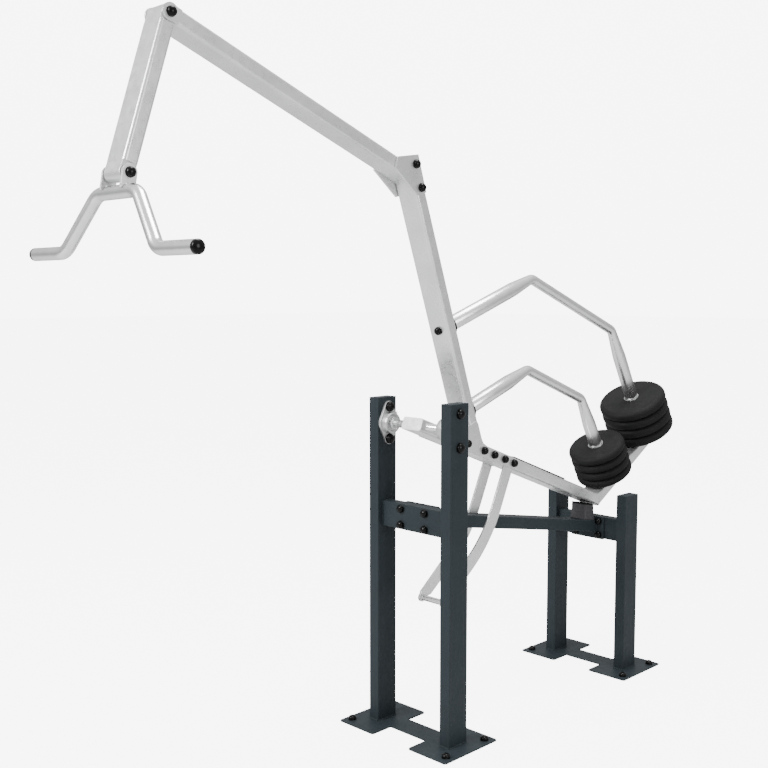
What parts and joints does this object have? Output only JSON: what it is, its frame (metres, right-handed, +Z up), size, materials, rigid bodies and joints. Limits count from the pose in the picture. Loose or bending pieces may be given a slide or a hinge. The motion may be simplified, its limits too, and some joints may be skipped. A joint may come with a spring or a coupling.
{
  "type": "lat pulldown machine",
  "caption": "Plate-loaded lat pulldown machine: a lever frame rocks on a two-post stand, with a swinging link and wide handle in front and round weight plates on two guide bars behind.",
  "frame": {"origin": "on the floor, midway between the two front posts and under the axle, on the underside of the front base plate", "axes": "+X to the right seen from the handle side, +Y from the handle toward the weights, +Z up"},
  "size_m": [0.912, 3.0538, 2.5577],
  "materials": {
    "stand_paint": "dark blue-grey powder coat",
    "lever_paint": "light silver-grey powder coat",
    "polished_steel": "polished",
    "black_gloss": "gloss black",
    "black_plastic": "gloss black",
    "plate_rubber": "matt black rubber",
    "bumper_rubber": "grey rubber",
    "white_plastic": "white moulded plastic"
  },
  "bodies": {
    "stand": {"front_base_plate": "stand_paint", "rear_base_plate": "stand_paint", "front_post_left": "stand_paint", "front_post_right": "stand_paint", "rear_post_left": "stand_paint", "rear_post_right": "stand_paint", "front_crossbar": "stand_paint", "rear_crossbar": "stand_paint", "spine_beam": "stand_paint", "bumper": "bumper_rubber", "bearing_housing_left": "polished_steel", "bearing_housing_right": "polished_steel", "bearing_bolt_lower_left": "black_gloss", "bearing_bolt_lower_right": "black_gloss", "bearing_bolt_upper_left": "black_gloss", "bearing_bolt_upper_right": "black_gloss"},
    "lever": {"axle": "polished_steel", "lower_beam": "lever_paint", "beam_end_cap": "white_plastic", "rack_leg": "lever_paint", "rack_leg_cap": "white_plastic", "upright": "lever_paint", "boom": "lever_paint", "boom_pivot_bolt": "black_gloss", "stop_tube": "polished_steel", "beam_pad": "plate_rubber", "hub_plate_left": "lever_paint", "hub_plate_right": "lever_paint", "elbow_plate_left": "lever_paint", "elbow_plate_right": "lever_paint", "stop_strap_left": "lever_paint", "stop_strap_right": "lever_paint", "bearing_insert_left": "polished_steel", "bearing_insert_right": "polished_steel", "hub_bolt_1": "black_gloss", "hub_bolt_2": "black_gloss", "hub_bolt_3": "black_gloss", "hub_bolt_4": "black_gloss", "hub_bolt_5": "black_gloss", "elbow_bolt_1": "black_gloss", "elbow_bolt_2": "black_gloss", "guide_bar_upper": "polished_steel", "guide_bar_lower": "polished_steel", "guide_flange_upper": "black_gloss", "guide_flange_lower": "black_gloss"},
    "link_arm": {"link": "lever_paint"},
    "handle": {"handle_bar": "polished_steel", "handle_pivot_bolt": "black_gloss", "clevis_ear_left": "lever_paint", "clevis_ear_right": "lever_paint", "grip_cap_left": "black_plastic", "grip_cap_right": "black_plastic"},
    "plate_upper_1": {"plate_upper_1": "plate_rubber"},
    "plate_upper_2": {"plate_upper_2": "plate_rubber"},
    "plate_upper_3": {"plate_upper_3": "plate_rubber"},
    "plate_upper_4": {"plate_upper_4": "plate_rubber"},
    "plate_lower_1": {"plate_lower_1": "plate_rubber"},
    "plate_lower_2": {"plate_lower_2": "plate_rubber"},
    "plate_lower_3": {"plate_lower_3": "plate_rubber"},
    "plate_lower_4": {"plate_lower_4": "plate_rubber"}
  },
  "joints": [
    {"name": "lever_hinge", "type": "hinge", "parent": "stand", "child": "lever", "pos_m": [0, 0, 1.2], "axis": [1, 0, 0], "range_deg": [0, 39]},
    {"name": "link_hinge", "type": "hinge", "parent": "lever", "child": "link_arm", "pos_m": [0, -1.1143, 2.53004], "axis": [1, 0, 0], "range_deg": [-70, 0]},
    {"name": "handle_hinge", "type": "hinge", "parent": "link_arm", "child": "handle", "pos_m": [0, -1.26795, 2.05234], "axis": [1, 0, 0], "range_deg": [-75, 75]},
    {"name": "plate_upper_1_slide", "type": "slide", "parent": "lever", "child": "plate_upper_1", "axis": [0, -0.4894, 0.8721], "range_m": [0, 0.08]},
    {"name": "plate_upper_2_slide", "type": "slide", "parent": "plate_upper_1", "child": "plate_upper_2", "axis": [0, -0.4894, 0.8721], "range_m": [0, 0.08]},
    {"name": "plate_upper_3_slide", "type": "slide", "parent": "plate_upper_2", "child": "plate_upper_3", "axis": [0, -0.4894, 0.8721], "range_m": [0, 0.08]},
    {"name": "plate_upper_4_slide", "type": "slide", "parent": "plate_upper_3", "child": "plate_upper_4", "axis": [0, -0.4894, 0.8721], "range_m": [0, 0.08]},
    {"name": "plate_lower_1_slide", "type": "slide", "parent": "lever", "child": "plate_lower_1", "axis": [0, -0.4894, 0.8721], "range_m": [0, 0.05]},
    {"name": "plate_lower_2_slide", "type": "slide", "parent": "plate_lower_1", "child": "plate_lower_2", "axis": [0, -0.4894, 0.8721], "range_m": [0, 0.05]},
    {"name": "plate_lower_3_slide", "type": "slide", "parent": "plate_lower_2", "child": "plate_lower_3", "axis": [0, -0.4894, 0.8721], "range_m": [0, 0.05]},
    {"name": "plate_lower_4_slide", "type": "slide", "parent": "plate_lower_3", "child": "plate_lower_4", "axis": [0, -0.4894, 0.8721], "range_m": [0, 0.05]}
  ]
}
